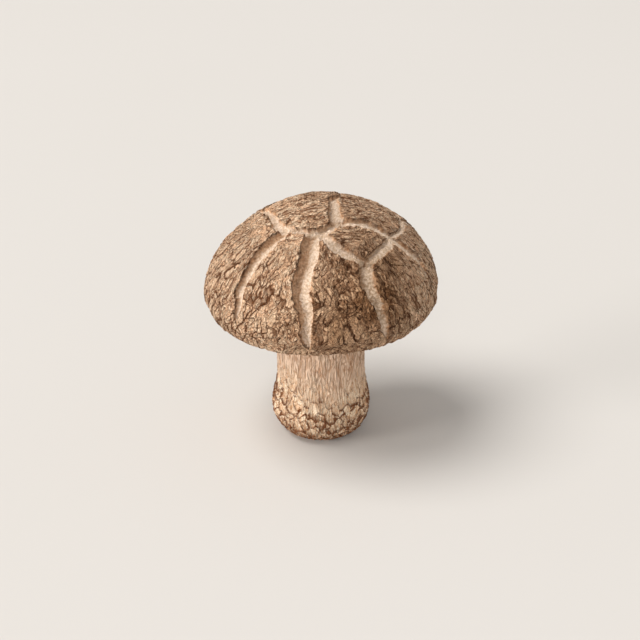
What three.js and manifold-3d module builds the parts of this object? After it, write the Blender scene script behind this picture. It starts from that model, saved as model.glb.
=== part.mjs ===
// Shiitake mushroom, Lentinula edodes, of the thick kind whose cap cracks open as it grows.
// Millimetres, +Z up. The cut base of the stem stands on z = 0, and the stem's axis is x = y = 0.
// Azimuths are degrees from the front, which is -Y, and grow towards +X.

import * as THREE from 'three';
import Module from 'manifold-3d';
import { mergeVertices } from 'three/addons/utils/BufferGeometryUtils.js';

// ---- Driving dimensions: the cap ----
const CAP_RADIUS = 30;
const RIM_HEIGHT = 41.2; // height of the cap's widest ring
const DOME_RISE = 23.3; // from the widest ring up to the crown
const MARGIN_DROP = 7.6; // from the widest ring down to the lowest line of the margin
const MARGIN_RADIUS = 24.4; // ring of that lowest line
const MARGIN_ROUNDING = 3; // how far the margin's bottom runs level before it turns up
const RIM_ROUNDING = 4.4; // how far the side runs upright below the widest ring
const LIP_RADIUS = 22.4; // inner edge of the inrolled margin
const LIP_HEIGHT = 36.6;
const LIP_LEDGE = 1; // rise from the lip's edge out to the wall of the gill chamber
const CHAMBER_RADIUS = 23.2; // outer end of the space that the gills fill
const CEILING_HEIGHT = 40; // where the flesh stops and the gills begin
const CAP_SEGMENTS = 60;
const CURVE_DIVISIONS = 5;

// ---- Driving dimensions: the cracks in the cap's skin ----
const CRACK_STEP = 2.4; // length of one straight piece of a crack
const CRACK_SIDES = 6;
const CRACK_DEPTH_BASE = 0.5;
const CRACK_DEPTH_PER_WIDTH = 0.6;

// ---- Driving dimensions: the stem ----
const STEM_RADIUS = 11.45;
const STEM_TOP_RADIUS = 11.7;
const STEM_BULGE_RADIUS = 12.95;
const STEM_BULGE_HEIGHT = 7.6;
const STEM_SHOULDER_HEIGHT = 19; // above this the stem is straight
const STEM_FLARE_HEIGHT = 32;
const CUT_BASE_RADIUS = 8;
const STEM_SEGMENTS = 44;

// ---- Driving dimensions: the gills ----
const GILL_COUNT = 66;
const GILL_INNER_RADIUS = 12.1;
const GILL_BELLY_RADIUS = 17.5;
const GILL_BELLY_HEIGHT = 35;
const GILL_OUTER_HEIGHT = 35.9;
const GILL_INNER_HEIGHT = 37.6; // the gills are notched where they reach the stem
const GILL_ROOT = 1; // thickness of the flesh that the gills hang from
const GAP = 0.3; // clearance between pieces that touch in the real mushroom

// Each crack runs through stops of [azimuth, distance from the crown along the skin, width].
const CRACKS = [
  // The front, around the hub where the cracks meet just in front of the crown.
  [[0, 14, 1.7], [-19, 13.2, 1.5], [-38, 14, 1.8]],
  [[-38, 14, 2.6], [-42, 20, 3.4], [-45, 26, 2.6], [-45, 32, 1.8], [-45, 37, 1.3], [-44, 41, 0.4]],
  [[0, 14, 2], [16, 11, 2], [30, 10.5, 2.6]],
  [[30, 10.5, 2.4], [49, 12.3, 2.2], [58, 15.3, 2.2], [62, 20.5, 2.4]],
  [[0, 14, 2], [14, 19, 2.4], [29, 24, 3]],
  [[29, 24, 2.6], [45, 22.3, 2.4], [62, 20.5, 2.4]],
  [[29, 24, 3.4], [26, 28, 3.6], [27, 32, 3], [29, 36.5, 2.4], [31, 40.5, 1.8], [33, 44.5, 0.4]],
  [[-6, 15, 3.4], [-7, 20, 3.2], [-9, 25, 4], [-10.5, 30.5, 4.1], [-7.5, 35, 3.9], [-7, 41, 2.4],
    [-6.5, 45.5, 0.4]],
  [[62, 20.5, 2.2], [67, 25.7, 1.8], [69, 31, 1.3], [68, 37, 0.4]],
  // Over the crown, and the network behind it.
  [[30, 10.5, 3.6], [26, 8, 3.4], [76, 3.5, 2.4], [144, 5.2, 2.2], [146, 9.5, 2.4], [160, 15, 2.8],
    [168, 22, 3]],
  [[168, 22, 3], [176, 29, 3.2], [178, 36, 2.2], [181, 43, 0.4]],
  [[-38, 14, 2.4], [-58, 13, 2.2], [-88, 13, 1.8], [-105, 15, 1.6], [-120, 19, 2]],
  [[-120, 19, 2.2], [-127, 27, 2.6], [-126, 34, 1.8], [-124, 41, 0.4]],
  [[168, 22, 2.2], [190, 19.5, 1.8], [215, 18.5, 1.6], [240, 19, 1.8]],
  [[215, 18.5, 1.8], [208, 26, 2.4], [205, 33, 1.8], [206, 40, 0.4]],
  [[62, 20.5, 1.6], [82, 21.5, 1.6], [103, 23, 2.2], [112, 30, 2.4], [113, 36, 1.6], [112, 42, 0.4]],
  [[103, 23, 1.8], [125, 20.5, 1.8], [148, 20, 1.8], [168, 22, 2]],
];

const wasm = await Module();
wasm.setup();

// ---- Helpers ----

/** A closed solid for booleans, from a geometry class's mesh. */
function toSolid(geometry) {
  geometry.deleteAttribute('normal');
  geometry.deleteAttribute('uv');
  const merged = mergeVertices(geometry);
  const corners = merged.index.array;
  const triangles = [];
  for (let i = 0; i < corners.length; i += 3) {
    const [a, b, c] = corners.slice(i, i + 3);
    if (a !== b && b !== c && c !== a) triangles.push(a, b, c);
  }
  return new wasm.Manifold(new wasm.Mesh({
    numProp: 3,
    vertProperties: new Float32Array(merged.attributes.position.array),
    triVerts: new Uint32Array(triangles),
  }));
}

/** A three.js geometry from a solid. */
function toGeometry(solid) {
  const mesh = solid.getMesh();
  const geometry = new THREE.BufferGeometry();
  geometry.setAttribute('position', new THREE.BufferAttribute(mesh.vertProperties, 3));
  geometry.setIndex(new THREE.BufferAttribute(mesh.triVerts, 1));
  geometry.computeVertexNormals();
  return geometry;
}

/** A turned shape about +Z. The profile of [radius, height] goes up its outer side. */
function turned(profile, segments) {
  return new THREE.LatheGeometry(profile, segments).rotateX(Math.PI / 2);
}

function point(radius, height) {
  return new THREE.Vector2(radius, height);
}

// ---- Cap ----

/** The cap's outer line in [radius, height], from the crown to the inner edge of the margin. */
function capMeridian() {
  const rim = point(CAP_RADIUS, RIM_HEIGHT);
  const bottom = RIM_HEIGHT - MARGIN_DROP;
  const margin = point(MARGIN_RADIUS, bottom);
  const meridian = new THREE.CurvePath();
  meridian.add(new THREE.EllipseCurve(0, RIM_HEIGHT, CAP_RADIUS, DOME_RISE, Math.PI / 2, 0, true));
  meridian.add(new THREE.CubicBezierCurve(
    rim,
    point(CAP_RADIUS, RIM_HEIGHT - RIM_ROUNDING),
    point(MARGIN_RADIUS + MARGIN_ROUNDING, bottom),
    margin,
  ));
  meridian.add(new THREE.QuadraticBezierCurve(
    margin,
    point(LIP_RADIUS, bottom),
    point(LIP_RADIUS, LIP_HEIGHT),
  ));
  return meridian;
}

const MERIDIAN = capMeridian();
const MERIDIAN_LENGTH = MERIDIAN.getLength();

function capBody() {
  const outline = MERIDIAN.getPoints(CURVE_DIVISIONS);
  outline[0].x = 0;
  outline.push(point(CHAMBER_RADIUS, LIP_HEIGHT + LIP_LEDGE));
  outline.push(point(CHAMBER_RADIUS, CEILING_HEIGHT));
  outline.push(point(0, CEILING_HEIGHT));
  return turned(outline.reverse(), CAP_SEGMENTS);
}

/** The point on the skin at place (u, v) of the flattened cap, with the skin's outward normal. */
function skinAt(u, v) {
  const reach = Math.hypot(u, v);
  const share = reach / MERIDIAN_LENGTH;
  const place = MERIDIAN.getPointAt(share);
  const slope = MERIDIAN.getTangentAt(share);
  const [outX, outY] = [u / reach, -v / reach];
  return {
    position: new THREE.Vector3(outX * place.x, outY * place.x, place.y),
    normal: new THREE.Vector3(-outX * slope.y, -outY * slope.y, slope.x),
  };
}

/** The tool that cuts one crack: a tapering bar that follows the skin, half of it below. */
function crackCutter(stops) {
  const route = new THREE.CatmullRomCurve3(stops.map(([azimuth, reach, width]) => {
    const turn = THREE.MathUtils.degToRad(azimuth);
    return new THREE.Vector3(reach * Math.sin(turn), reach * Math.cos(turn), width);
  }));
  const steps = Math.ceil(route.getLength() / CRACK_STEP);
  const bar = new THREE.CylinderGeometry(1, 1, 1, CRACK_SIDES, steps);
  const corners = bar.attributes.position;
  const halfFlat = Math.sin(Math.PI / 3); // reach of a hexagon across its flats
  for (let i = 0; i < corners.count; i++) {
    const along = corners.getY(i) + 0.5;
    const here = route.getPoint(along);
    const ahead = route.getTangent(along);
    const { position, normal } = skinAt(here.x, here.y);
    const next = skinAt(here.x + 0.01 * ahead.x, here.y + 0.01 * ahead.y).position;
    const sideways = next.sub(position).cross(normal).normalize();
    const halfWidth = here.z / 2 / halfFlat;
    const depth = CRACK_DEPTH_BASE * Math.min(1, here.z) + CRACK_DEPTH_PER_WIDTH * here.z;
    position.addScaledVector(sideways, corners.getX(i) * halfWidth);
    position.addScaledVector(normal, corners.getZ(i) * depth);
    corners.setXYZ(i, position.x, position.y, position.z);
  }
  return bar;
}

function crackedCap() {
  let cap = toSolid(capBody());
  for (const stops of CRACKS) cap = cap.subtract(toSolid(crackCutter(stops)));
  return toGeometry(cap);
}

// ---- Stem ----

function stemBody() {
  const top = CEILING_HEIGHT - GAP;
  const outline = new THREE.Path();
  outline.moveTo(0, 0);
  outline.lineTo(CUT_BASE_RADIUS, 0);
  outline.bezierCurveTo(
    CUT_BASE_RADIUS + 3, 0.9,
    STEM_BULGE_RADIUS, STEM_BULGE_HEIGHT - 3.4,
    STEM_BULGE_RADIUS, STEM_BULGE_HEIGHT,
  );
  outline.bezierCurveTo(
    STEM_BULGE_RADIUS, STEM_BULGE_HEIGHT + 4.4,
    STEM_RADIUS, STEM_SHOULDER_HEIGHT - 6,
    STEM_RADIUS, STEM_SHOULDER_HEIGHT,
  );
  outline.lineTo(STEM_RADIUS, STEM_FLARE_HEIGHT);
  outline.lineTo(STEM_TOP_RADIUS, top);
  outline.lineTo(0, top);
  return turned(outline.getPoints(CURVE_DIVISIONS), STEM_SEGMENTS);
}

// ---- Gills ----

/** A ring of pleats: every second spoke of the ring's underside is raised into a valley. */
function gillRing() {
  const top = CEILING_HEIGHT - GAP;
  const root = top - GILL_ROOT;
  const outline = [
    point(GILL_INNER_RADIUS, top),
    point(GILL_INNER_RADIUS, GILL_INNER_HEIGHT),
    point(GILL_BELLY_RADIUS, GILL_BELLY_HEIGHT),
    point(LIP_RADIUS - GAP, GILL_OUTER_HEIGHT),
    point(LIP_RADIUS - GAP, LIP_HEIGHT + GAP),
    point(CHAMBER_RADIUS - GAP, LIP_HEIGHT + LIP_LEDGE + GAP),
    point(CHAMBER_RADIUS - GAP, top),
    point(GILL_INNER_RADIUS, top),
  ];
  const segments = 2 * GILL_COUNT;
  const ring = turned(outline, segments);
  const corners = ring.attributes.position;
  for (let i = 0; i < corners.count; i++) {
    const spoke = Math.floor(i / outline.length) % segments;
    if (spoke % 2 === 1 && corners.getZ(i) < root) corners.setZ(i, root);
  }
  ring.computeVertexNormals();
  return ring;
}

// ---- Assembly ----

function piece(name, geometry, color, roughness) {
  const material = new THREE.MeshStandardMaterial({ color, roughness, metalness: 0 });
  const mesh = new THREE.Mesh(geometry, material);
  mesh.name = name;
  return mesh;
}

const mushroom = new THREE.Group();
mushroom.add(piece('cap', crackedCap(), 0x80624b, 0.85));
mushroom.add(piece('gills', gillRing(), 0xe6d5bb, 0.8));
mushroom.add(piece('stem', stemBody(), 0xdcc1a2, 0.85));

export default mushroom;
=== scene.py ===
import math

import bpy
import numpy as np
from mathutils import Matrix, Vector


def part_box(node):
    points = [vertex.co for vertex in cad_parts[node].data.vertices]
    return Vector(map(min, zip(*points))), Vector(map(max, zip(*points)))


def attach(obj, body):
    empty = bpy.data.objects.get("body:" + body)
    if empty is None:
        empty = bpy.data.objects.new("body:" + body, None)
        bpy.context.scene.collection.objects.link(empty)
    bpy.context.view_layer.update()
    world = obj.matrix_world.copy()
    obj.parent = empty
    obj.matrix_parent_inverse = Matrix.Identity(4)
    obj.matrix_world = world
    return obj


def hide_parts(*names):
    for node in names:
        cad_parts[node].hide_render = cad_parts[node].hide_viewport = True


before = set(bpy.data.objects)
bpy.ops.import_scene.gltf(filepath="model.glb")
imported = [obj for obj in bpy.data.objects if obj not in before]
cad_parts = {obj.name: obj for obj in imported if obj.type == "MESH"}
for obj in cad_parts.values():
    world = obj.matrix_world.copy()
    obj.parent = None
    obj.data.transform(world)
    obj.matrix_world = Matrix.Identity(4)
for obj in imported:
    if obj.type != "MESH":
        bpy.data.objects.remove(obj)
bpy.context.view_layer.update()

# A shiitake mushroom with a cracked, flaky cap, crowded gills and a fibrous, scaly stem.
# Shapes are worked out in millimetres and turned into metres where a mesh is made.
# Azimuths are degrees from the front, which is -Y, and grow towards +X.

MM = 0.001

# ---- Sizes read from the frame, millimetres ----

cap_low, cap_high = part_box("cap")
gills_low, gills_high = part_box("gills")
_, stem_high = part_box("stem")
CAP_RADIUS = (cap_high.x - cap_low.x) / 2 / MM
CROWN_HEIGHT = cap_high.z / MM
MARGIN_HEIGHT = cap_low.z / MM
GILL_OUTER_RADIUS = gills_high.x / MM
GILL_ROOT_HEIGHT = gills_high.z / MM
GILL_BELLY_HEIGHT = gills_low.z / MM
STEM_TOP = stem_high.z / MM
STEM_BULGE_RADIUS = stem_high.x / MM

# ---- Other sizes of the CAD shape, millimetres ----

RIM_HEIGHT = 41.2  # the cap's widest ring
RIM_ROUNDING = 4.4
MARGIN_RADIUS = 24.4
MARGIN_ROUNDING = 3
LIP_RADIUS = 22.4
LIP_HEIGHT = 36.6
CHAMBER_RADIUS = 23.2
CEILING_HEIGHT = 40
CUT_BASE_RADIUS = 8
STEM_RADIUS = 11.45
STEM_TOP_RADIUS = 11.7
STEM_BULGE_HEIGHT = 7.6
STEM_SHOULDER_HEIGHT = 19
STEM_FLARE_HEIGHT = 32
GILL_INNER_RADIUS = 12.1
GILL_INNER_HEIGHT = 37.6
GILL_BELLY_RADIUS = 17.5
GILL_OUTER_HEIGHT = 35.9

# ---- Mesh density ----

CAP_GRID = 520  # even, so that no point of the grid falls on the crown itself
STEM_COLUMNS = 420
STEM_ROWS = 250

# Each crack runs through stops of [azimuth, distance from the crown along the skin, width].
CRACKS = [
    # The front, around the hub where the cracks meet just in front of the crown.
    [[0, 14, 2.4], [-19, 13.2, 2.2], [-38, 14, 2.6]],
    [[-38, 14, 3.4], [-44, 19, 4.2], [-46, 25, 3.6], [-46, 32, 2.8], [-45, 37, 2], [-44, 42, 0.6]],
    [[0, 14, 2.8], [16, 11, 2.8], [30, 10.5, 3.2]],
    [[30, 10.5, 3.2], [49, 12.3, 3.2], [58, 15.3, 3], [62, 20.5, 3]],
    [[0, 14, 2.8], [14, 19, 3.2], [29, 24, 3.8]],
    [[29, 24, 3.4], [45, 22.3, 3.2], [62, 20.5, 3]],
    [[29, 24, 4.2], [26, 28, 4.4], [27, 32, 3.8], [29, 36.5, 3], [31, 40.5, 2.4], [33, 45, 0.6]],
    [[-8, 15, 4.4], [-9, 20, 4.6], [-10, 25, 4.6], [-11, 30.5, 4.5], [-8, 35, 4], [-7, 41, 2.8],
     [-6.5, 46, 0.6]],
    [[62, 20.5, 3.2], [67, 25.7, 3.0], [69, 31, 2.6], [68, 37.5, 0.8]],
    # Over the crown, and the network behind it.
    [[30, 10.5, 4.2], [26, 8, 3.9], [76, 3.5, 2.8], [144, 5.2, 2.2], [146, 9.5, 1.7], [158, 14, 1.1],
     [164, 18, 1.5], [168, 22, 3.4]],
    [[168, 22, 3.4], [176, 29, 3.6], [178, 36, 2.6], [181, 43, 0.6]],
    [[-38, 14, 3.2], [-58, 13, 3], [-88, 13, 2.4], [-105, 15, 2], [-120, 19, 2.4]],
    [[-120, 19, 2.6], [-127, 27, 3], [-126, 34, 2.2], [-124, 41, 0.6]],
    [[168, 22, 2.6], [190, 19.5, 2.2], [215, 18.5, 2], [240, 19, 2.2]],
    [[215, 18.5, 2.2], [208, 26, 2.8], [205, 33, 2.2], [206, 40, 0.6]],
    [[62, 20.5, 2], [82, 21.5, 2], [103, 23, 2.6], [112, 30, 2.8], [113, 36, 2], [112, 42, 0.6]],
    [[103, 23, 2.2], [125, 20.5, 2.2], [148, 20, 2.2], [168, 22, 2.4]],
]
CRACK_SAMPLE = 0.3  # spacing of the points that a crack's middle line is measured from
CRACK_NEAR = 5  # beyond this distance a crack has no effect
CRACK_UPPER_SIDE = (-0.85, 0.55, 0.35)  # away from the edge that a crack is deepest under

# ---- Widths and lengths of the flakes and scales ----

FLAKE_SIZE = (1.65, 5.0)
SMALL_FLAKE_SIZE = (0.85, 2.3)
LEDGE_SIZE = (5.5, 8.5)
SCALE_SIZE = 1.8
SMALL_SCALE_SIZE = 0.8
FIBRE_SIZE = (0.85, 0.85, 1.6)

# Dark places of the cap's skin: middle, size, and how much darker.
DARK_SPOTS = [((14, -20, 51), 15, 0.75), ((4, -28, 42), 12, 0.40), ((-10, -27, 42), 8, 0.22)]


# ---- Numbers: noise, curves and ramps ----

def ramp(value, start, end):
    """0 before start, 1 after end, smooth in between."""
    share = np.clip((value - start) / (end - start), 0, 1)
    return share * share * (3 - 2 * share)


def lerp(first, second, share):
    return first + (second - first) * share


def bump(value, centre, width):
    """1 at centre, falling off smoothly over about width on both sides."""
    return np.exp(-(((value - centre) / width) ** 2))


class Noise:
    """Smooth noise and scattered cells in three dimensions, the same on every run."""

    SIZE = 256

    def __init__(self, seed):
        random = np.random.default_rng(seed)
        self.order = random.permutation(self.SIZE)
        vectors = random.normal(size=(self.SIZE, 3))
        self.vectors = vectors / np.linalg.norm(vectors, axis=1)[:, None]
        self.scatter = random.random((self.SIZE, 3))

    def key(self, cell):
        """One of SIZE numbers for each whole-number cell."""
        found = self.order[cell[:, 0] % self.SIZE]
        found = self.order[(found + cell[:, 1]) % self.SIZE]
        return self.order[(found + cell[:, 2]) % self.SIZE]

    def smooth(self, points):
        """Gradient noise from about -1 to 1, with features about one unit across."""
        cell = np.floor(points).astype(int)
        inside = points - cell
        weight = inside**3 * (inside * (inside * 6 - 15) + 10)
        total = np.zeros(len(points))
        for corner in np.ndindex(2, 2, 2):
            slope = self.vectors[self.key(cell + corner)]
            share = np.where(corner, weight, 1 - weight).prod(1)
            total += share * (slope * (inside - corner)).sum(1)
        return total * 1.6

    def fractal(self, points, octaves):
        """Smooth noise with octaves finer copies of itself added."""
        return sum(self.smooth(points * 2**i + 17 * i) / 2**i for i in range(octaves))

    def cells(self, points):
        """Scattered cells about one unit across. Returns twice how far each point is from its
        cell's border, its place in the cell, and three random numbers of the cell."""
        base = np.floor(points).astype(int)
        nearest = np.full(len(points), np.inf)
        second = np.full(len(points), np.inf)
        place = np.zeros((len(points), 3))
        beyond = np.ones((len(points), 3))
        owner = np.zeros(len(points), int)
        for step in np.ndindex(3, 3, 3):
            cell = base + np.array(step) - 1
            key = self.key(cell)
            offset = points - cell - self.scatter[key]
            distance = np.sqrt((offset**2).sum(1))
            closer = distance < nearest
            next_best = ~closer & (distance < second)
            beyond[closer] = place[closer]
            beyond[next_best] = offset[next_best]
            second = np.where(closer, nearest, np.minimum(second, distance))
            nearest = np.where(closer, distance, nearest)
            place[closer] = offset[closer]
            owner[closer] = key[closer]
        apart = np.linalg.norm(place - beyond, axis=1)
        return (second**2 - nearest**2) / apart, place, self.scatter[(owner * 7 + 3) % self.SIZE]


def warp(noise, points, size, amount):
    """Moves points by smooth noise of that size, up to about amount."""
    shifts = [noise.smooth(points / size + 31 * axis) for axis in range(3)]
    return points + amount * np.stack(shifts, 1)


def bezier(controls, count=160):
    """Points along a Bezier curve."""
    share = np.linspace(0, 1, count)[:, None]
    curves = [np.array([point], float) for point in controls]
    while len(curves) > 1:
        curves = [(1 - share) * a + share * b for a, b in zip(curves, curves[1:])]
    return curves[0]


def lengths_along(line):
    """The distance from the start of a line of points to each of them."""
    steps = np.linalg.norm(np.diff(line, axis=0), axis=1)
    return np.concatenate([[0], np.cumsum(steps)])


def evenly(line, spacing):
    """A line of points again, with even spacing and no doubled point."""
    along = lengths_along(line)
    places = np.linspace(0, along[-1], int(along[-1] / spacing) + 2)
    return np.stack([np.interp(places, along, column) for column in line.T], 1)


class Turned:
    """A surface turned about the Z axis, from an outline of (radius, height)."""

    def __init__(self, outline):
        self.outline = evenly(outline, 0.05)
        self.along = lengths_along(self.outline)
        self.length = self.along[-1]
        self.slope = np.gradient(self.outline, self.along, axis=0)
        self.slope /= np.linalg.norm(self.slope, axis=1)[:, None]

    def read(self, values, reach):
        return [np.interp(reach, self.along, column) for column in values.T]

    def at(self, reach, out_x, out_y):
        """Point and normal at distance reach along the outline, on the side that faces
        (out_x, out_y). The normal points outwards where the outline runs down, as the cap's
        does, and inwards where it runs up, as the stem's does."""
        radius, height = self.read(self.outline, reach)
        slope_out, slope_up = self.read(self.slope, reach)
        point = np.stack([out_x * radius, out_y * radius, height], 1)
        normal = np.stack([-out_x * slope_up, -out_y * slope_up, slope_out], 1)
        return point, normal


# ---- Meshes ----

def faces_outward(points, faces):
    """Whether the faces of a closed mesh face outwards, by the sign of its volume."""
    a, b, c = (points[faces[:, i]] for i in range(3))
    volume = (a * np.cross(b, c)).sum()
    if faces.shape[1] == 4:
        a, b, c = (points[faces[:, i]] for i in (0, 2, 3))
        volume += (a * np.cross(b, c)).sum()
    return volume > 0


def add_object(name, data):
    thing = bpy.data.objects.new(name, data)
    bpy.context.scene.collection.objects.link(thing)
    return thing


def add_fan(points, masks, flows, ring, middle):
    """Triangles from a ring of points to one new point, which has the masks and flows of the
    ring's first point."""
    first, count = ring[0], len(points)
    points = np.concatenate([points, [middle]])
    masks = {name: np.append(values, values[first]) for name, values in masks.items()}
    flows = {name: np.concatenate([values, values[[first]]]) for name, values in flows.items()}
    fan = np.stack([ring, np.full(len(ring), count), np.roll(ring, -1)], 1)
    return points, masks, flows, fan


def make_piece(name, node, points, face_sets, material, masks, flows):
    """A smooth-shaded mesh object from points in millimetres and sets of (faces, corner UVs)."""
    mesh = bpy.data.meshes.new(name)
    faces = [face for corners, _ in face_sets for face in corners.tolist()]
    mesh.from_pydata((points * MM).tolist(), [], faces)
    layer = mesh.uv_layers.new(name="OFBake")
    spots = np.concatenate([uv.reshape(-1, 2) for _, uv in face_sets])
    layer.data.foreach_set("uv", spots.astype(np.float32).ravel())
    for mask_name, values in masks.items():
        mask = mesh.attributes.new(mask_name, "FLOAT", "POINT")
        mask.data.foreach_set("value", np.clip(values, 0, 1).astype(np.float32))
    for flow_name, values in flows.items():
        flow = mesh.attributes.new(flow_name, "FLOAT_VECTOR", "POINT")
        flow.data.foreach_set("vector", values.astype(np.float32).ravel())
    mesh.shade_smooth()
    mesh.materials.append(material)
    piece = add_object(name, mesh)
    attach(piece, "root")
    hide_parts(node)
    return piece


# ---- Cap ----

# Which share of the grid, from the crown outwards, reaches how far along the outline.
CAP_SPREAD = ([0, 0.80, 0.92, 1], [0, 46, 55, 72])
CAP_UV = 0.95  # share of the UV map that the grid takes; the ceiling's fan has the far corner
FAN_UV_MIDDLE, FAN_UV_RADIUS = 0.975, 0.02


def cap_outline():
    """From the crown over the rim and the inrolled margin into the gill chamber."""
    turn = np.linspace(0, math.pi / 2, 400)
    dome = np.stack([
        CAP_RADIUS * np.sin(turn),
        RIM_HEIGHT + (CROWN_HEIGHT - RIM_HEIGHT) * np.cos(turn),
    ], 1)
    side = bezier([
        (CAP_RADIUS, RIM_HEIGHT),
        (CAP_RADIUS, RIM_HEIGHT - RIM_ROUNDING),
        (MARGIN_RADIUS + MARGIN_ROUNDING, MARGIN_HEIGHT),
        (MARGIN_RADIUS, MARGIN_HEIGHT),
    ])
    lip = bezier([
        (MARGIN_RADIUS, MARGIN_HEIGHT),
        (LIP_RADIUS, MARGIN_HEIGHT),
        (LIP_RADIUS, LIP_HEIGHT),
        (CHAMBER_RADIUS, LIP_HEIGHT + 1),
    ])
    ceiling = np.array([(CHAMBER_RADIUS, CEILING_HEIGHT), (STEM_TOP_RADIUS - 1, CEILING_HEIGHT)])
    return np.concatenate([dome, side, lip, ceiling])


def disc_grid(count):
    """A square grid of points laid on the unit disc, so that no pole is needed at its middle."""
    line = np.linspace(-1, 1, count)
    a, b = (axis.ravel() for axis in np.meshgrid(line, line, indexing="ij"))
    wide = np.abs(a) > np.abs(b)
    radius = np.where(wide, a, b)
    turn = np.where(wide, math.pi / 4 * b / a, math.pi / 2 - math.pi / 4 * a / b)
    return radius * np.cos(turn), radius * np.sin(turn)


def crack_line(stops, cap):
    """Points on the skin along a crack's middle, and its width at each."""
    stops = np.array(stops, float)
    turn = np.radians(stops[:, 0])
    knots = np.stack([stops[:, 1] * np.sin(turn), stops[:, 1] * np.cos(turn), stops[:, 2]], 1)
    padded = np.concatenate([[2 * knots[0] - knots[1]], knots, [2 * knots[-1] - knots[-2]]])
    share = np.linspace(0, 1, 12, endpoint=False)[:, None]
    line = []
    for p0, p1, p2, p3 in zip(padded, padded[1:], padded[2:], padded[3:]):
        line.append(0.5 * (
            2 * p1 + (p2 - p0) * share + (2 * p0 - 5 * p1 + 4 * p2 - p3) * share**2
            + (3 * p1 - p0 - 3 * p2 + p3) * share**3
        ))
    u, v, width = evenly(np.concatenate([*line, knots[-1:]]), CRACK_SAMPLE).T
    reach = np.hypot(u, v)
    point, _ = cap.at(reach, u / reach, -v / reach)
    return point, width


def crack_field(points, cap):
    """How far each point is outside the nearest crack's edge, which is negative inside, the
    width of that crack there and the direction away from its middle line."""
    outside = np.full(len(points), float(CRACK_NEAR))
    widths = np.ones(len(points))
    away = np.zeros((len(points), 3))
    for stops in CRACKS:
        middle, width = crack_line(stops, cap)
        low, high = middle.min(0) - CRACK_NEAR, middle.max(0) + CRACK_NEAR
        near = np.flatnonzero(((points > low) & (points < high)).all(1))
        for part in np.array_split(near, len(near) // 20000 + 1):
            offset = points[part, None, :] - middle
            distance = np.sqrt((offset**2).sum(2)) - width / 2
            best = distance.argmin(1)
            rows = np.arange(len(part))
            closer = distance[rows, best] < outside[part]
            taken, best, rows = part[closer], best[closer], rows[closer]
            outside[taken] = distance[rows, best]
            widths[taken] = width[best]
            found = offset[rows, best]
            away[taken] = found / np.linalg.norm(found, axis=1)[:, None]
    return outside, widths, away


def uneven_cap(point):
    """The cap did not grow quite even: a lower shoulder on one side, a higher margin in front."""
    x, y, z = point.T
    shoulder = -1.7 * ramp(-x, 2, 24) * ramp(z, RIM_HEIGHT - 1, RIM_HEIGHT + 6)
    front = np.clip(0.45 - 0.55 * y / CAP_RADIUS + 0.35 * x / CAP_RADIUS, 0, 1)
    below = ramp(-z, -RIM_HEIGHT, -RIM_HEIGHT + 5) * ramp(np.hypot(x, y), 21, 24)
    return point + np.stack([0 * x, 0 * x, shoulder + 1.4 * front * below], 1)


class Skin:
    """The pattern of the skin. On the sides it runs downhill, over the crown it runs across."""

    def __init__(self, turn, reach, point):
        fan = turn - 0.15 * np.sin(2 * turn) * reach / 40
        down = np.stack([CAP_RADIUS * np.sin(fan), CAP_RADIUS * np.cos(fan), reach], 1)
        x, y, z = point.T
        across = np.stack([0.97 * y - 0.26 * x, z, 0.97 * x + 0.26 * y], 1)
        # Both directions wander on three scales.
        bend, twist = Noise(11), Noise(23)
        flows = []
        for flow in (down, across):
            flow = warp(bend, flow, 6.0, 1.0)
            flow = warp(twist, flow, 1.8, 0.32)
            flows.append(warp(bend, flow, 0.7, 0.12))
        self.down, self.across = flows
        self.crown = 1 - ramp(reach + 3 * bend.smooth(point / 5), 16.5, 19)

    def cells(self, noise, width, length):
        """Flakes of that size: distance from the border, place of the free end, random numbers."""
        size = np.array([width, width, length])
        gap, place, luck = noise.cells(self.down / size)
        top_gap, top_place, top_luck = noise.cells(self.across / size)
        share = self.crown
        return (
            lerp(gap, top_gap, share),
            lerp(place[:, 2], -top_place[:, 0], share),
            lerp(luck, top_luck, share[:, None]),
        )


class Flaking:
    """The skin's flakes of three sizes. Each has a free end, which stands up."""

    def __init__(self, skin, point, reach, left, noise, flaws, scales):
        self.gap, self.lean, self.luck = skin.cells(flaws, *FLAKE_SIZE)
        self.small_gap, small_lean, self.small_luck = skin.cells(scales, *SMALL_FLAKE_SIZE)
        self.ledge_gap, self.ledge_lean, ledge_luck = skin.cells(noise, *LEDGE_SIZE)
        # More of the flakes have come loose towards the margin.
        self.patch = noise.fractal(point / 7 + 5, 2)
        self.lower = ramp(reach + 7 * self.patch + 8 * left, 20, 33)
        self.loose = ramp(self.luck[:, 0] + 0.35 * self.lower, 0.45, 0.7)
        flake = 0.08 + 0.10 * self.luck[:, 1] + 0.26 * np.clip(self.lean, -0.4, 0.5)
        small = 0.06 + 0.07 * self.small_luck[:, 1] + 0.13 * small_lean
        ledge = 0.10 + 0.14 * ledge_luck[:, 1] + 0.18 * self.ledge_lean
        flake *= self.loose * ramp(self.gap, 0.02, 0.16) * (0.4 + 0.6 * self.lower)
        small *= ramp(self.small_gap, 0.02, 0.30)
        ledge *= ramp(self.ledge_gap, 0.005, 0.06)
        self.relief = flake + small + ledge - 0.28


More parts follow.
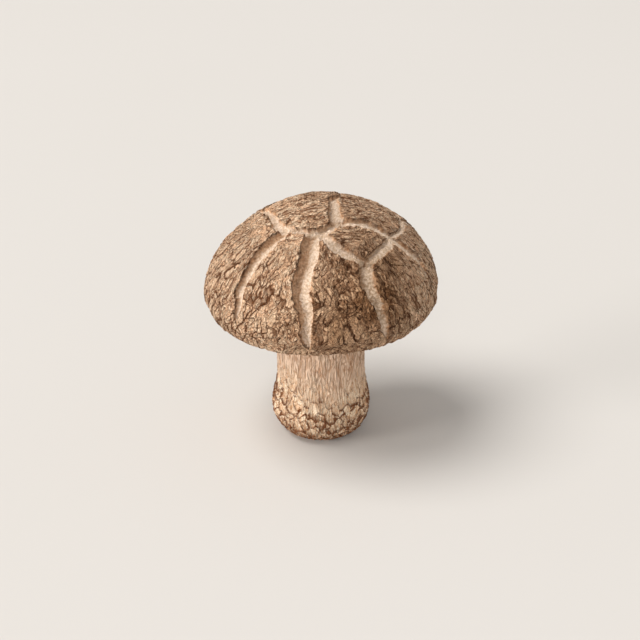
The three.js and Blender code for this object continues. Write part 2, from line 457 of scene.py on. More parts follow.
class Cracking:
    """The cracks with their ragged edges, which follow the flakes."""

    def __init__(self, cap, point, reach, left, luck, noise, flaws, scales):
        # The points are shifted to measure them, which makes the edges ragged.
        ragged = warp(noise, point, 5.0, 0.55)
        ragged = warp(flaws, ragged, 1.9, 0.40)
        ragged = warp(scales, ragged, 0.75, 0.20)
        outside, width, self.away = crack_field(ragged, cap)
        outside = outside + 0.40 * (luck - 0.5) * ramp(width, 0.5, 1.5)
        inside = -outside
        facing = np.clip(self.away @ CRACK_UPPER_SIDE, -1, 1)
        facing = facing * ramp(-outside, -CRACK_NEAR, -CRACK_NEAR + 1)
        # A crack is deepest under its upper edge, or the edge that faces +X. Its floor rises to
        # the other edge: across is -1 at the first, 0 in the middle and 1 at the second.
        valley = np.clip(inside / (0.5 * width), 0, 1)
        across = -(1 - valley) * np.tanh(3 * facing)
        # It is flat and shallow on the side towards -X, and steps up early near the crown.
        self.flat = ramp(left, 0.2, 0.6)
        shelf = ramp(point[:, 0], 3, 9) * (1 - ramp(reach, 30, 38)) * (1 - ramp(width, 3.5, 4.1))
        depth = 0.35 * np.minimum(1, width) + 0.42 * width
        depth *= 1 - 0.3 * np.maximum(self.flat, shelf)
        rise = (0.72 - 0.57 * self.flat) * np.clip((across + 0.5) / 1.5, 0, 1)
        rise = lerp(rise, 0.9 * np.clip((across + 0.75) / 0.9, 0, 1), shelf)
        wall = ramp(inside, 0, 0.28)
        self.sunk = depth * wall * ramp(across, -1.2, -0.5) * (1 - rise)
        self.plate = 1 - wall
        # A plate's edge curls up, most over the deep side.
        edge = np.exp(-np.maximum(outside, 0) / 1.1) * self.plate
        curl = edge * (0.26 + 0.24 * facing + 0.20 * noise.smooth(point / 3.1))
        self.curl = curl * ramp(width, 0.8, 3.4)
        self.outside, self.inside, self.width = outside, inside, width
        self.facing, self.across = facing, across


def shape_cap():
    """The cap's points, the masks that its material reads and the flow of its skin."""
    cap = Turned(cap_outline())
    u, v = disc_grid(CAP_GRID)
    share = np.hypot(u, v)
    reach = np.interp(share, *CAP_SPREAD) * cap.length / CAP_SPREAD[1][-1]
    point, normal = cap.at(reach, u / share, -v / share)
    left = np.clip(-point[:, 0] / CAP_RADIUS, 0, 1)
    covered = 1 - ramp(reach, 52.5, 54.5)  # by skin, which ends inside the margin
    noise, flaws, scales = noises = Noise(12), Noise(24), Noise(37)
    skin = Skin(np.arctan2(u, v), reach, point)
    flakes = Flaking(skin, point, reach, left, *noises)
    cracks = Cracking(cap, point, reach, left, flakes.small_luck[:, 0], *noises)

    # The flesh in the cracks has short cottony fibres.
    cotton = noise.fractal(point / 0.9, 3)
    strand = scales.fractal(point / (1.4, 1.4, 0.7), 2)
    height = 0.3 * noise.smooth(point / 16) - cracks.sunk
    height += covered * cracks.plate * (flakes.relief + cracks.curl)
    height += (1 - cracks.plate) * (0.12 * cotton + 0.08 * strand)
    height *= 1 - ramp(reach, 60, 62)

    # The plates' edges hang over the cracks: lip outwards, wall below it back under the plate.
    over = 0.20 * bump(cracks.outside, 0.10, 0.22) - 0.16 * bump(cracks.outside, -0.30, 0.22)
    over *= np.minimum(1, cracks.width / 2)
    moved = uneven_cap(point + normal * height[:, None] - cracks.away * over[:, None])
    masks = cap_masks(point, reach, left, covered, flakes, cracks, *noises)
    masks["crown"] = skin.crown
    return moved, masks, {"flow_down": skin.down, "flow_across": skin.across}


def cap_masks(point, reach, left, covered, flakes, cracks, noise, flaws, scales):
    """What the cap's material has to know about each point."""
    # The skin is darkest on the front towards +X, and palest on the side towards -X.
    # The paler -X side is partly the skin's own colour, partly painted light from the lamps.
    tone_and_painted_light = 1 + 0.25 * noise.fractal(point / 6 + 3, 2) - 0.10 + 0.55 * left
    # Paler again far towards +X: painted light that lifts the side that lies in shade.
    tone_and_painted_light += 0.6 * ramp(point[:, 0], 16, 28)
    for place, size, share in DARK_SPOTS:
        tone_and_painted_light -= share * bump(np.linalg.norm(point - place, axis=1), 0, size)
    lower, loose, facing = flakes.lower, flakes.loose, cracks.facing
    sides = np.maximum(ramp(left, 0.15, 0.5), ramp(point[:, 0], 13, 24)) * ramp(reach, 10, 20)
    outlined = np.maximum(sides, 0.75 * lower) * (0.6 + 0.4 * loose)
    # Painted shadow: the line is dark along the raised free end of each loose flake.
    outlined = np.maximum(ramp(flakes.lean, -0.15, 0.25) * loose, outlined)
    pale = np.clip(flakes.luck[:, 2] + 0.35 * flakes.patch + 0.04 + 0.12 * left, 0, 1)
    # Painted shade on the upper wall; in a narrow or a flat crack it keeps close to the upper edge.
    slim = np.maximum(0.55 * (1 - ramp(cracks.width, 3.0, 4.4)), 0.6 * cracks.flat)
    shade = cracks.across + 0.12 * flaws.smooth(point / 0.9) + slim
    torn = ramp(flaws.smooth(point / 1.6) - 0.5 * facing, -0.2, 0.4)
    # Painted shadow under the lips, with a dark skin edge: strongest on a crack's upper side.
    lip_shadow_and_dark_edge = np.clip(0.4 + facing + 0.6 * scales.smooth(point / 1.2), 0, 1)
    return {
        "flesh": np.maximum(ramp(cracks.inside, 0.05, 0.22), 1 - covered),
        "rim": bump(cracks.outside, -0.10, 0.26) * torn,
        "edge": bump(cracks.outside, -0.02, 0.15) * lip_shadow_and_dark_edge,
        "flake": lerp(0.5, pale, loose * (0.35 + 0.65 * lower)),
        "tone_and_painted_light": tone_and_painted_light,
        "shade": 1 - ramp(shade, -0.30, 0.02),
        # Dark lines between flakes and ledges: dark skin, and painted shadow under their raised
        # ends.
        "gap": flakes.gap + 1 - outlined,
        "ledge_gap": flakes.ledge_gap + 1 - ramp(flakes.ledge_lean, -0.25, 0.15),
        "small_seam": 1 - ramp(flakes.small_gap, 0.03, 0.20),
    }


def make_cap(material):
    points, masks, flows = shape_cap()
    count = CAP_GRID
    index = np.arange(count * count).reshape(count, count)
    corners = [(0, 0), (1, 0), (1, 1), (0, 1)]
    spread = np.array([(i, j) for i in range(count) for j in range(count)]) / count * CAP_UV
    quads = np.stack([index[i:count - 1 + i, j:count - 1 + j].ravel() for i, j in corners], 1)
    # A fan closes the ceiling over the stem, where the grid's border runs in a circle.
    border = np.concatenate([index[:-1, 0], index[-1, :-1], index[:0:-1, -1], index[0, :0:-1]])
    middle = points[border].mean(0)
    points, masks, flows, fan = add_fan(points, masks, flows, border, middle)
    turn = np.arange(len(border)) / len(border) * 2 * math.pi
    ring = FAN_UV_MIDDLE + FAN_UV_RADIUS * np.stack([np.cos(turn), np.sin(turn)], 1)
    fan_uv = np.stack([ring, np.full_like(ring, FAN_UV_MIDDLE), np.roll(ring, -1, axis=0)], 1)
    quad_uv = spread[quads]
    if not faces_outward(points, quads):
        quads, quad_uv = quads[:, ::-1], quad_uv[:, ::-1]
        fan, fan_uv = fan[:, ::-1], fan_uv[:, ::-1]
    sets = [(quads, quad_uv), (fan, fan_uv)]
    return make_piece("cap_flesh_and_skin", "cap", points, sets, material, masks, flows)


# ---- Stem ----

STEM_SPREAD = [0, 0.06, 0.97, 1]  # rows at the base's middle and edge, the top's edge and middle
STEM_HOLE = 0.3  # radius of the middles of the base and the top, which fans close
STEM_UV_LOW, STEM_UV_HEIGHT = 0.03, 0.94  # the side's strip of the UV map: start and height
STEM_FAN_UV = 0.02  # height of each fan's strip


def stem_outline():
    """From the middle of the cut base, out over its edge and up to the ceiling of the cap."""
    base = np.array([(0, 0), (CUT_BASE_RADIUS, 0)])
    foot = bezier([
        (CUT_BASE_RADIUS, 0),
        (CUT_BASE_RADIUS + 3, 0.9),
        (STEM_BULGE_RADIUS, STEM_BULGE_HEIGHT - 3.4),
        (STEM_BULGE_RADIUS, STEM_BULGE_HEIGHT),
    ])
    waist = bezier([
        (STEM_BULGE_RADIUS, STEM_BULGE_HEIGHT),
        (STEM_BULGE_RADIUS, STEM_BULGE_HEIGHT + 4.4),
        (STEM_RADIUS, STEM_SHOULDER_HEIGHT - 6),
        (STEM_RADIUS, STEM_SHOULDER_HEIGHT),
    ])
    top = np.array([(STEM_RADIUS, STEM_FLARE_HEIGHT), (STEM_TOP_RADIUS, STEM_TOP), (0, STEM_TOP)])
    return np.concatenate([base, foot, waist, top])


def shape_stem(turn, reach, stem):
    """The stem's points, the masks that its material reads and the flow of its fibres."""
    point, normal = stem.at(reach, np.sin(turn), -np.cos(turn))
    height = point[:, 2]
    noise, scales, fine = Noise(53), Noise(61), Noise(71)
    side = ramp(reach, CUT_BASE_RADIUS - 0.2, CUT_BASE_RADIUS + 1.2)
    side *= 1 - ramp(reach, stem.length - STEM_TOP_RADIUS - 1, stem.length - STEM_TOP_RADIUS)
    drift = 2.2 * noise.smooth(point / 8) + 3.5 * noise.smooth(point / (4, 4, 30))
    scaly = (1 - ramp(height + drift - 0.08 * np.abs(point[:, 0]) ** 1.5, 9.5, 21.0)) * side

    # Wavy fibres run down the stem and split into scales on the bulge. The normal points into
    # the stem, so what is positive here is sunk, and the lines between scales stand out.
    straight = np.stack([STEM_RADIUS * np.sin(turn), STEM_RADIUS * np.cos(turn), 0.3 * height], 1)
    flow = warp(noise, straight, 2.6, 0.7)
    flow = warp(fine, flow, 0.9, 0.22)
    # On the cut face fibres have no direction round the middle, so the place itself serves.
    flow = np.where((reach < CUT_BASE_RADIUS)[:, None], point, flow)
    fibre_gap, _, fibre_luck = fine.cells(flow / FIBRE_SIZE)
    fibre = ramp(fibre_gap, 0.0, 0.4) * (0.16 + 0.14 * fibre_luck[:, 0])
    # Scales get shorter towards the base.
    up = 0.46 * height - 2.4 * np.exp(-height / 3.2)
    broken = np.stack([straight[:, 0], straight[:, 1], up], 1)
    broken = warp(noise, broken, 2.2, 0.9)
    broken = warp(fine, broken, 0.7, 0.22)
    gap, place, luck = scales.cells(broken / SCALE_SIZE)
    scale = ramp(gap, 0.01, 0.18) * (0.30 + 0.40 * luck[:, 1] - 0.65 * place[:, 2])
    small_gap, small_place, small_luck = fine.cells(broken / SMALL_SCALE_SIZE)
    small = 0.08 + 0.11 * small_luck[:, 1] - 0.14 * small_place[:, 2]
    small *= ramp(small_gap, 0.02, 0.25)
    lumps = 0.25 * noise.smooth(point / 9)
    relief = (1 - scaly) * fibre + scaly * (scale + small) - 0.15
    moved = point + normal * ((lumps + relief) * side)[:, None]
    moved[:, 2] = np.maximum(moved[:, 2], 0)

    masks = {
        "scaly": scaly,
        "scale_gap": gap + 0.12 * np.clip(noise.smooth(point / 1.5), 0, 1) + 0.16 * (1 - scaly),
        "small_gap": small_gap + 1 - scaly,
        "luck": luck[:, 2],
        "foot": (1 - ramp(height + 0.5 * drift, 0.5, 5)) * side,
        "cut": 1 - ramp(reach, CUT_BASE_RADIUS - 0.4, CUT_BASE_RADIUS + 0.3),
    }
    return moved, masks, {"flow_down": flow}


def make_stem(material):
    stem = Turned(stem_outline())
    rows, columns = STEM_ROWS, STEM_COLUMNS
    # Few rows on the two flat ends, many on the side.
    side_end = stem.length - STEM_TOP_RADIUS
    reach = np.interp(
        np.linspace(0, 1, rows),
        STEM_SPREAD,
        [STEM_HOLE, CUT_BASE_RADIUS, side_end, stem.length - STEM_HOLE],
    )
    turn = np.linspace(0, 2 * math.pi, columns, endpoint=False)
    reach_grid, turn_grid = (g.ravel() for g in np.meshgrid(reach, turn, indexing="ij"))
    points, masks, flows = shape_stem(turn_grid, reach_grid, stem)

    squares = np.meshgrid(np.arange(rows - 1), np.arange(columns), indexing="ij")
    row, column = (g.ravel() for g in squares)
    corners = [(0, 0), (0, 1), (1, 1), (1, 0)]
    quads = np.stack([(row + r) * columns + (column + c) % columns for r, c in corners], 1)
    quad_uv = np.stack([
        np.stack([(column + c) / columns, STEM_UV_LOW + STEM_UV_HEIGHT * (row + r) / rows], 1)
        for r, c in corners
    ], 1)
    if not faces_outward(points, quads):
        quads, quad_uv = quads[:, ::-1], quad_uv[:, ::-1]
    sets = [(quads, quad_uv)]
    # Small fans close the middles of the base and of the top.
    for first, height, low in ((0, 0, 0.0), ((rows - 1) * columns, STEM_TOP, 1 - STEM_FAN_UV)):
        ring = first + np.arange(columns)
        points, masks, flows, fan = add_fan(points, masks, flows, ring, (0, 0, height))
        left = np.arange(columns) / columns
        across = [left, left + 0.5 / columns, left + 1 / columns]
        up = [low + STEM_FAN_UV, low, low + STEM_FAN_UV]
        fan_uv = np.stack([np.stack([x, np.full(columns, y)], 1) for x, y in zip(across, up)], 1)
        flat = points[fan]
        faces_up = np.cross(flat[0, 1] - flat[0, 0], flat[0, 2] - flat[0, 0])[2] > 0
        if faces_up == (height == 0):
            fan, fan_uv = fan[:, ::-1], fan_uv[:, ::-1]
        sets.append((fan, fan_uv))
    return make_piece("stem_stalk", "stem", points, sets, material, masks, flows)


# ---- Gills ----

GILL_COUNT = 132  # full gills; as many short ones stand between them
GILL_STEPS = 26  # along a gill
GILL_LEVELS = 5  # down a gill
GILL_THICKNESS = 0.30
SHORT_GILL_START = 17.2
GILL_ROOT_THICKNESS = 0.5
GILL_RING_COLUMNS = 264
GILL_UV_COLUMNS = 4  # strips of blades side by side on the UV map


def gill_edge(radius):
    """Height of the gills' free edge: notched at the stem, deepest midway, level at the margin."""
    line = bezier([
        (GILL_INNER_RADIUS, GILL_INNER_HEIGHT),
        (GILL_INNER_RADIUS + 2, GILL_BELLY_HEIGHT - 0.3),
        (GILL_BELLY_RADIUS + 1.5, GILL_BELLY_HEIGHT - 0.3),
        (GILL_OUTER_RADIUS, GILL_OUTER_HEIGHT + 0.6),
    ])
    return np.interp(radius, line[:, 0], line[:, 1])


def gill_blade(index, random, noise):
    """One closed blade: its points, its quads and how near each point is to the free edge."""
    short = index % 2 == 1
    start = SHORT_GILL_START + random.uniform(-1.5, 2.0) if short else GILL_INNER_RADIUS
    azimuth = (index + random.uniform(-0.16, 0.16)) / (2 * GILL_COUNT) * 2 * math.pi
    radius = np.linspace(start, GILL_OUTER_RADIUS - 0.1, GILL_STEPS)
    down = np.linspace(0, 1, GILL_LEVELS) ** 0.8
    root = GILL_ROOT_HEIGHT - GILL_ROOT_THICKNESS
    edge = gill_edge(radius)
    if short:
        edge = root - (root - edge - 0.25) * ramp(radius, start, start + 2.2)
    along = np.stack([radius, np.full_like(radius, index * 3.7), np.zeros_like(radius)], 1)
    edge = edge + 0.10 * noise.smooth(along / (0.55, 1, 1)) + 0.10 * noise.smooth(along / (2, 1, 1))
    sway = 0.22 * noise.smooth(along / (3.2, 1, 1) + 50)
    points, tips = [], []
    for side in (-1, 1):
        for share in down:
            height = root + (edge - root) * share
            half = 0.5 * GILL_THICKNESS * (1 - 0.55 * share)
            swing = sway * share * 1.4
            angle = azimuth + (swing + side * half) / radius
            points.append(np.stack([radius * np.sin(angle), -radius * np.cos(angle), height], 1))
            tips.append(np.full_like(radius, share))
    levels = GILL_LEVELS
    loop = [*range(levels), *range(2 * levels - 1, levels - 1, -1)]
    quads = []
    for here, there in zip(loop, loop[1:] + loop[:1]):
        step = np.arange(GILL_STEPS - 1)
        a, b = here * GILL_STEPS + step, there * GILL_STEPS + step
        quads.append(np.stack([a, a + 1, b + 1, b], 1))
    for end in (0, GILL_STEPS - 1):
        line = np.array(loop) * GILL_STEPS + end
        for level in range(levels - 1):
            quad = np.array([line[level], line[level + 1], line[-2 - level], line[-1 - level]])
            quads.append((quad if end == 0 else quad[::-1])[None])
    return np.concatenate(points), np.concatenate(quads), np.concatenate(tips)


def gill_ceiling():
    """A flat closed ring that the blades hang from."""
    columns = GILL_RING_COLUMNS
    top, bottom = GILL_ROOT_HEIGHT, GILL_ROOT_HEIGHT - GILL_ROOT_THICKNESS - 0.15
    section = [
        (GILL_INNER_RADIUS, top), (GILL_INNER_RADIUS, bottom),
        (GILL_OUTER_RADIUS, bottom), (GILL_OUTER_RADIUS, top),
    ]
    turn = np.linspace(0, 2 * math.pi, columns, endpoint=False)
    rings = [
        np.stack([r * np.sin(turn), -r * np.cos(turn), np.full(columns, z)], 1) for r, z in section
    ]
    quads = []
    column = np.arange(columns)
    for here in range(4):
        a, b = here * columns, (here + 1) % 4 * columns
        after = (column + 1) % columns
        quads.append(np.stack([a + column, a + after, b + after, b + column], 1))
    return np.concatenate(rings), np.concatenate(quads), np.zeros(4 * columns)


def make_gills(material):
    """All blades and the ring they hang from, as one piece."""
    random, noise = np.random.default_rng(83), Noise(89)
    parts = [gill_blade(i, random, noise) for i in range(2 * GILL_COUNT)]
    blades = len(parts)
    parts.append(gill_ceiling())
    sets, total, first = [], [], 0
    columns = GILL_UV_COLUMNS
    row_height = 0.9 / math.ceil(blades / columns)
    for number, (points, quads, _) in enumerate(parts):
        if not faces_outward(points - points.mean(0), quads):
            quads = quads[:, ::-1]
        count = len(quads)
        if number < blades:
            # Each blade has a strip of its own, with its two sides one above the other.
            low = np.array([number % columns / columns, number // columns * row_height])
            size = np.array([0.96 / columns, 0.9 * row_height])
        else:
            low, size = np.array([0.0, 0.92]), np.array([0.98, 0.07])
        line = GILL_STEPS - 1 if number < blades else GILL_RING_COLUMNS
        place = np.arange(count)
        rows = math.ceil(count / line)
        cell = np.stack([place % line / line, place // line / rows], 1)
        step = np.array([1 / line, 1 / rows]) * 0.98
        spots = [low + size * (cell + step * np.array(c)) for c in [(0, 0), (1, 0), (1, 1), (0, 1)]]
        sets.append((quads + first, np.stack(spots, 1)))
        total.append(points)
        first += len(points)
    masks = {"tip": np.concatenate([tips for _, _, tips in parts])}
    points = np.concatenate(total)
    return make_piece("gill_blades", "gills", points, sets, material, masks, {})


# ---- Materials ----

def linear(value):
    """One channel as shaders take it, from a screen value of 0 to 255."""
    value /= 255
    return value / 12.92 if value <= 0.04045 else ((value + 0.055) / 1.055) ** 2.4


def srgb(red, green, blue):
    return (linear(red), linear(green), linear(blue), 1)


def map_range(nodes, start, end, low, high):
    """A node that takes start to low and end to high, smoothly."""
    node = nodes.new("ShaderNodeMapRange")
    node.interpolation_type = "SMOOTHSTEP"
    for name, value in zip(("From Min", "From Max", "To Min", "To Max"), (start, end, low, high)):
        node.inputs[name].default_value = value
    return node


class Surface:
    """A node material with one Principled shader, and short calls for the nodes it needs."""

    def __init__(self, name, roughness):
        self.material = bpy.data.materials.new(name)
        self.material.use_nodes = True
        self.nodes = self.material.node_tree.nodes
        self.links = self.material.node_tree.links
        self.shader = self.nodes["Principled BSDF"]
        self.shader.inputs["Roughness"].default_value = roughness
        self.shader.inputs["Specular IOR Level"].default_value = 0.12
        self.place = self.nodes.new("ShaderNodeTexCoord").outputs["Object"]

    def put(self, socket, value):
        """Links a socket to a node's output, or sets it to a number or colour."""
        if isinstance(value, bpy.types.NodeSocket):
            self.links.new(value, socket)
        else:
            socket.default_value = value

    def attribute(self, name):
        node = self.nodes.new("ShaderNodeAttribute")
        node.attribute_name = name
        return node

    def mask(self, name):
        return self.attribute(name).outputs["Fac"]

    def flow(self, name):
        return self.attribute(name).outputs["Vector"]

    def scaled(self, place, x, y, z):
        """A place, stretched: larger numbers make finer patterns."""
        node = self.nodes.new("ShaderNodeMapping")
        node.inputs["Scale"].default_value = (x, y, z)
        self.links.new(place, node.inputs["Vector"])
        return node.outputs["Vector"]

    def clouds(self, place, scale, detail, distortion=0.0):
        node = self.nodes.new("ShaderNodeTexNoise")
        for name, value in (("Scale", scale), ("Detail", detail), ("Distortion", distortion)):
            node.inputs[name].default_value = value
        self.links.new(place, node.inputs["Vector"])
        return node

    def fibres(self, flow, width, length, detail=4.0, distortion=0.0):
        """Noise that runs along a flow, from 0 to 1; sizes in the flow's millimetres."""
        stretched = self.scaled(flow, 1 / width, 1 / width, 1 / length)
        return self.clouds(stretched, 1, detail, distortion).outputs["Fac"]

    def noise(self, size_mm, detail=4.0):
        """Noise with features about size_mm across, from 0 to 1."""
        return self.clouds(self.place, 1 / (size_mm * MM), detail).outputs["Fac"]

    def flakes(self, flow, width, length, ragged=0.5):
        """Ragged cells along a flow: a random number for each cell, and the distance to its edge."""
        stretched = self.scaled(flow, 1 / width, 1 / width, 1 / length)
        wobble = self.clouds(stretched, 2.2, 3)
        shifted = self.nodes.new("ShaderNodeVectorMath")
        shifted.operation = "MULTIPLY_ADD"
        shifted.inputs[1].default_value = (ragged, ragged, ragged)
        self.links.new(wobble.outputs["Color"], shifted.inputs[0])
        self.links.new(stretched, shifted.inputs[2])
        found = []
        for feature in ("F1", "DISTANCE_TO_EDGE"):
            node = self.nodes.new("ShaderNodeTexVoronoi")
            node.feature = feature
            node.inputs["Scale"].default_value = 1
            self.links.new(shifted.outputs["Vector"], node.inputs["Vector"])
            found.append(node)
        random = self.nodes.new("ShaderNodeSeparateColor")
        self.links.new(found[0].outputs["Color"], random.inputs["Color"])
        return random.outputs[0], found[1].outputs["Distance"]

    def remap(self, value, start, end, low=0.0, high=1.0):
        node = map_range(self.nodes, start, end, low, high)
        self.links.new(value, node.inputs["Value"])
        return node.outputs["Result"]

    def math(self, operation, first, second):
        node = self.nodes.new("ShaderNodeMath")
        node.operation = operation
        self.put(node.inputs[0], first)
        self.put(node.inputs[1], second)
        return node.outputs["Value"]

    def times(self, first, second):
        return self.math("MULTIPLY", first, second)

    def between(self, kind, output, share, first, second):
        """The node has sockets of its own for each kind of value: numbers, vectors, colours."""
        node = self.nodes.new("ShaderNodeMix")
        node.data_type = kind
        self.put(node.inputs[0], share)
        self.put(node.inputs[2 * output + 2], first)
        self.put(node.inputs[2 * output + 3], second)
        return node.outputs[output]

    def blend(self, share, first, second):
        """A number between first and second."""
        return self.between("FLOAT", 0, share, first, second)

    def turn(self, share, first, second):
        """A direction between first and second."""
        return self.between("VECTOR", 1, share, first, second)

    def mix(self, share, first, second):
        """A colour between first and second."""
        return self.between("RGBA", 2, share, first, second)

    def bump(self, height, depth_mm, below=None):
        node = self.nodes.new("ShaderNodeBump")
        node.inputs["Distance"].default_value = depth_mm * MM
        self.links.new(height, node.inputs["Height"])
        if below is not None:
            self.links.new(below, node.inputs["Normal"])
        return node.outputs["Normal"]

    def finish(self, colour, normal, roughness=None):
        self.links.new(colour, self.shader.inputs["Base Color"])
        self.links.new(normal, self.shader.inputs["Normal"])
        if roughness is not None:
            self.links.new(roughness, self.shader.inputs["Roughness"])
        return self.material


def cap_material():
    """Brown, dry, fibrous skin in plates and flakes, with cream flesh where it has cracked."""
    s = Surface("cap_skin_and_flesh", 0.85)
    crown = s.mask("crown")
    down, across = s.flow("flow_down"), s.flow("flow_across")
    strokes = s.blend(crown, s.fibres(down, 0.42, 0.9), s.fibres(across, 0.5, 1.2))
    threads = s.blend(crown, s.fibres(down, 0.22, 0.45), s.fibres(across, 0.25, 0.5))
    down_luck, down_edge = s.flakes(down, 0.66, 1.2)
    across_luck, across_edge = s.flakes(across, 0.75, 1.3)
    luck = s.blend(crown, down_luck, across_luck)
    border = s.blend(crown, down_edge, across_edge)
    # This mask holds the skin's own tone and the painted light on its -X and +X sides.
    tone_and_painted_light = s.mask("tone_and_painted_light")
    blotch = s.noise(4.5, 3.0)

    ground = s.mix(tone_and_painted_light, srgb(128, 88, 56), srgb(244, 198, 160))
    light = s.mix(tone_and_painted_light, srgb(212, 164, 122), srgb(255, 225, 192))
    dark = s.mix(tone_and_painted_light, srgb(56, 28, 9), srgb(100, 58, 30))
    skin = s.mix(s.times(s.remap(blotch, 0.36, 0.64), 0.3), ground, srgb(138, 98, 64))
    lucky = s.math("ADD", luck, s.remap(tone_and_painted_light, 0, 1, -0.06, 0.08))
    skin = s.mix(s.remap(lucky, 0.66, 0.95, 0, 0.8), skin, light)
    skin = s.mix(s.remap(lucky, 0.24, 0.04, 0, 0.8), skin, dark)
    skin = s.mix(s.remap(strokes, 0.57, 0.66, 0, 0.8), skin, light)
    skin = s.mix(s.remap(border, 0.09, 0.01, 0, 0.65), skin, dark)
    skin = s.mix(s.remap(strokes, 0.43, 0.35, 0, 0.8), skin, dark)
    skin = s.mix(s.times(s.mask("small_seam"), 0.25), skin, dark)
    streaks = s.fibres(across, 0.7, 2.6)
    skin = s.mix(s.times(crown, s.remap(streaks, 0.55, 0.66, 0, 0.6)), skin, light)
    skin = s.mix(s.times(crown, s.remap(streaks, 0.45, 0.36, 0, 0.7)), skin, dark)
    flake = s.mask("flake")
    skin = s.mix(s.remap(flake, 0.40, 0.10, 0, 0.45), skin, dark)
    matt = s.mix(tone_and_painted_light, srgb(140, 100, 67), srgb(216, 170, 133))
    pale = s.mix(s.remap(threads, 0.36, 0.62), matt, light)
    skin = s.mix(s.remap(flake, 0.58, 0.85, 0, 0.6), skin, pale)
    # Dark lines between flakes and ledges: dark skin, plus painted shadow under their raised ends.
    skin = s.mix(s.remap(s.mask("gap"), 0.23, 0.08, 0, 0.9), skin, dark)
    skin = s.mix(s.remap(s.mask("ledge_gap"), 0.09, 0.03, 0, 0.8), skin, dark)

    wool = s.noise(0.7, 5.0)
    tufts = s.remap(wool, 0.40, 0.62)
    flesh = s.mix(tufts, srgb(202, 174, 147), srgb(228, 204, 182))
    dim = s.mix(tufts, srgb(170, 140, 112), srgb(216, 190, 164))
    flesh = s.mix(s.remap(tone_and_painted_light, 0.45, 0.1, 0, 0.8), flesh, dim)
    # Painted shade: the crack's upper wall in a darker tan, where the plate's lip shades it.
    walls = s.mix(s.remap(wool, 0.35, 0.7), srgb(166, 128, 96), srgb(200, 162, 128))
    flesh = s.mix(s.times(s.mask("shade"), 0.85), flesh, walls)
    torn = s.mix(s.remap(wool, 0.3, 0.7), srgb(190, 132, 88), srgb(228, 180, 138))
    colour = s.mix(s.mask("flesh"), skin, flesh)
    colour = s.mix(s.times(s.mask("rim"), 0.7), colour, torn)
    # A thin dark line at the cracks' edges: dark skin edge and painted shadow under the lips.
    colour = s.mix(s.times(s.mask("edge"), 0.85), colour, srgb(54, 32, 18))
    fine = s.bump(threads, 0.36)
    rough = s.bump(strokes, 0.75, fine)
    normal = s.bump(s.remap(border, 0, 0.25), 0.28, rough)
    soft = s.bump(s.noise(0.55, 5.0), 0.7)
    normal = s.turn(s.mask("flesh"), normal, soft)
    return s.finish(colour, normal, s.remap(strokes, 0.3, 0.7, 0.95, 0.75))


def stem_material():
    """Cream-tan fibres that break into brown-edged scales towards the base."""
    s = Surface("stem_fibres_and_scales", 0.8)
    flow = s.flow("flow_down")
    strands = s.fibres(flow, 0.55, 1.9, 3.0, 0.3)
    threads = s.fibres(flow, 0.25, 0.7, 3.0, 0.2)
    _, seam = s.flakes(flow, 0.8, 1.9, 0.4)
    pale = s.mix(s.remap(threads, 0.38, 0.62), srgb(205, 171, 143), srgb(240, 211, 186))
    pale = s.mix(s.remap(strands, 0.44, 0.34), pale, srgb(194, 152, 120))
    pale = s.mix(s.remap(seam, 0.09, 0.01, 0, 0.6), pale, srgb(156, 114, 84))
    scale = s.mix(s.remap(threads, 0.38, 0.62), srgb(232, 194, 158), srgb(255, 238, 212))
    scale = s.mix(s.times(s.mask("luck"), 0.35), scale, srgb(214, 170, 132))
    scale = s.mix(s.remap(s.noise(0.6, 4.0), 0.44, 0.34), scale, srgb(192, 142, 100))
    colour = s.mix(s.mask("scaly"), pale, scale)
    colour = s.mix(s.remap(s.mask("small_gap"), 0.20, 0.05, 0, 0.6), colour, srgb(160, 106, 66))
    colour = s.mix(s.remap(s.mask("scale_gap"), 0.19, 0.04, 0, 0.95), colour, srgb(108, 58, 26))
    brown = s.times(s.mask("foot"), s.remap(s.noise(1.3, 3.0), 0.35, 0.65, 0.1, 0.7))
    colour = s.mix(brown, colour, srgb(150, 102, 68))
    colour = s.mix(s.mask("cut"), colour, srgb(206, 172, 138))
    fine = s.bump(threads, 0.2)
    rough = s.bump(strands, 0.35, fine)
    normal = s.bump(s.remap(seam, 0, 0.2), 0.18, rough)
    return s.finish(colour, normal, s.remap(threads, 0.3, 0.7, 0.9, 0.7))


def gill_material():
    """Thin cream blades, a little darker and bruised along their edges."""
    s = Surface("gill_blade_flesh", 0.75)
    cloud = s.noise(2.5, 4.0)
    colour = s.mix(s.remap(cloud, 0.35, 0.65), srgb(226, 200, 166), srgb(244, 226, 200))
    spots = s.times(s.mask("tip"), s.remap(s.noise(1.2, 4.0), 0.52, 0.7))
    colour = s.mix(s.times(spots, 0.7), colour, srgb(186, 140, 96))
    normal = s.bump(s.noise(0.4, 3.0), 0.08)
    return s.finish(colour, normal)


# ---- Stage: floor, light and camera ----

VIEW_ELEVATION = 27  # degrees above the horizon
VIEW_DISTANCE = 0.3945
LENS = 85
AIM_HEIGHT = 0.03155
AIM_X = -0.0003
# Lamps: name, azimuth, elevation, distance and diameter in metres, watts.
LAMPS = [
    ("key", -80, 62, 8, 5.4, 505),
    ("low_fill", -68, 12, 8, 3, 350),
    ("front", 0, 30, 8, 3, 105),
]
LAMP_TINT = (1.0, 0.985, 0.96)
WORLD_TINT = (1.0, 0.985, 0.965, 1)
WALL_STRENGTH = 0.86
CEILING_STRENGTH = 0.40


def make_floor():
    """A plain pale floor, a wide disc."""
    columns, radius = 64, 6.0
    turn = np.linspace(0, 2 * math.pi, columns, endpoint=False)
    ring = np.stack([radius * np.cos(turn), radius * np.sin(turn), np.zeros(columns)], 1)
    mesh = bpy.data.meshes.new("floor")
    mesh.from_pydata(ring.tolist(), [], [list(range(columns))])
    s = Surface("floor_paper", 0.9)
    shade = s.noise(260, 2.0)
    colour = s.mix(shade, srgb(209, 205, 200), srgb(212, 208, 204))
    mesh.materials.append(s.finish(colour, s.bump(s.noise(0.5, 2.0), 0.01)))
    add_object("floor", mesh)


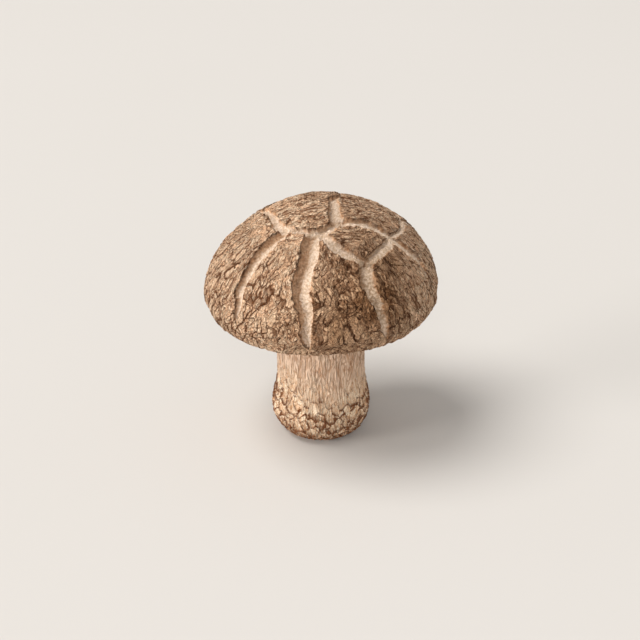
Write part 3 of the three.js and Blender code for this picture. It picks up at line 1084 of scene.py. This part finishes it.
def aim(thing, target):
    """Turns a light or camera to look at target."""
    direction = (np.array(target) - np.array(thing.location)).tolist()
    thing.rotation_mode = "QUATERNION"
    thing.rotation_quaternion = Vector(direction).to_track_quat("-Z", "Y")


def place_round(azimuth, elevation, distance, target):
    """A place at that azimuth and elevation, in degrees, as seen from the target."""
    turn, up = math.radians(azimuth), math.radians(elevation)
    return (
        target[0] + distance * math.cos(up) * math.sin(turn),
        target[1] - distance * math.cos(up) * math.cos(turn),
        target[2] + distance * math.sin(up),
    )


def make_light(name, azimuth, elevation, distance, size, power):
    light = bpy.data.lights.new(name, "AREA")
    light.shape = "DISK"
    light.size = size
    light.energy = power
    light.color = LAMP_TINT
    lamp = add_object(name, light)
    target = (0, 0, RIM_HEIGHT * MM)
    lamp.location = place_round(azimuth, elevation, distance, target)
    lamp.visible_camera = False
    aim(lamp, target)


def make_world():
    """Even light from all round, from pale walls and a dimmer ceiling."""
    world = bpy.data.worlds.new("studio")
    world.use_nodes = True
    nodes, links = world.node_tree.nodes, world.node_tree.links
    background = nodes["Background"]
    background.inputs["Color"].default_value = WORLD_TINT
    split = nodes.new("ShaderNodeSeparateXYZ")
    links.new(nodes.new("ShaderNodeTexCoord").outputs["Generated"], split.inputs["Vector"])
    strength = map_range(nodes, 0.05, 0.65, WALL_STRENGTH, CEILING_STRENGTH)
    links.new(split.outputs["Z"], strength.inputs["Value"])
    links.new(strength.outputs["Result"], background.inputs["Strength"])
    bpy.context.scene.world = world


def make_camera():
    camera = bpy.data.cameras.new("camera")
    camera.lens = LENS
    camera.sensor_width = 36
    camera.clip_start, camera.clip_end = 0.01, 20
    eye = add_object("camera", camera)
    target = (AIM_X, 0, AIM_HEIGHT)
    eye.location = place_round(0, VIEW_ELEVATION, VIEW_DISTANCE, target)
    aim(eye, target)
    bpy.context.scene.camera = eye


make_camera()
make_world()
for lamp in LAMPS:
    make_light(*lamp)
make_floor()
make_cap(cap_material())
make_stem(stem_material())
make_gills(gill_material())
bpy.context.scene.view_settings.view_transform = "Standard"
